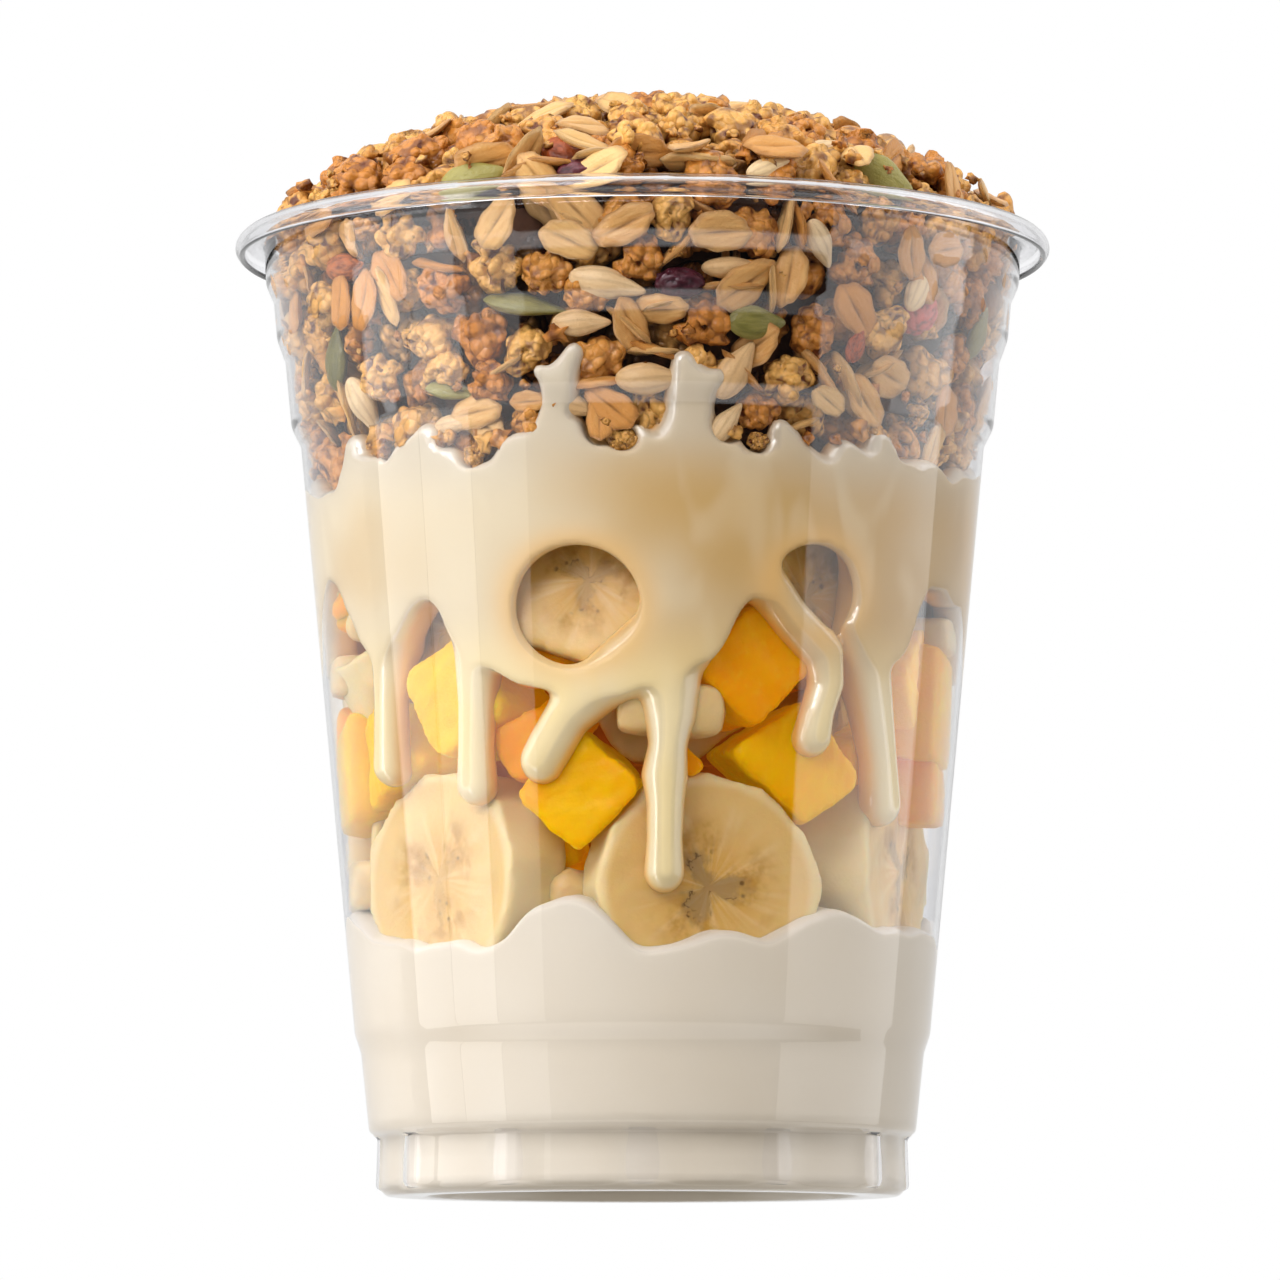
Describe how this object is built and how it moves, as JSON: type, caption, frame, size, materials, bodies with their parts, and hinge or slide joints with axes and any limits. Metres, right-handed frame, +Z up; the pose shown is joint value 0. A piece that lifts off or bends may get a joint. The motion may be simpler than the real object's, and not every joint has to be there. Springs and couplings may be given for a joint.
{
  "type": "yogurt with fruit cup",
  "caption": "Clear cold cup layered with white yogurt, banana slices, mango cubes, custard cream that drips down the wall, and a heap of granola.",
  "frame": {"origin": "middle of the ring that the cup stands on, at its underside", "axes": "+Z up along the cup's axis; -Y towards the front, the side that the picture shows; +X to the right seen from the front"},
  "size_m": [0.098, 0.098, 0.1307],
  "materials": {
    "clear_plastic": "clear thin PET, glossy",
    "yogurt": "soft satin, slightly translucent",
    "fruit_syrup": "glossy, dark amber",
    "custard_cream": "glossy, smooth and slightly translucent",
    "granola": "toasted, rough, with glazed clusters",
    "banana": "moist satin, with a rough rim",
    "mango": "moist, smooth to fibrous"
  },
  "bodies": {
    "root": {"cup": "clear_plastic", "yogurt": "yogurt", "fruit_syrup": "fruit_syrup", "cream": "custard_cream", "granola": "granola", "banana_1": "banana", "banana_2": "banana", "banana_3": "banana", "banana_4": "banana", "banana_5": "banana", "banana_6": "banana", "banana_7": "banana", "banana_8": "banana", "banana_9": "banana", "banana_10": "banana", "banana_11": "banana", "banana_12": "banana", "banana_13": "banana", "banana_14": "banana", "banana_15": "banana", "banana_16": "banana", "banana_17": "banana", "banana_18": "banana", "banana_19": "banana", "banana_20": "banana", "mango_1": "mango", "mango_2": "mango", "mango_3": "mango", "mango_4": "mango", "mango_5": "mango", "mango_6": "mango", "mango_7": "mango", "mango_8": "mango", "mango_9": "mango", "mango_10": "mango", "mango_11": "mango", "mango_12": "mango", "mango_13": "mango", "mango_14": "mango", "mango_15": "mango", "mango_16": "mango", "mango_17": "mango", "mango_18": "mango"}
  },
  "joints": []
}
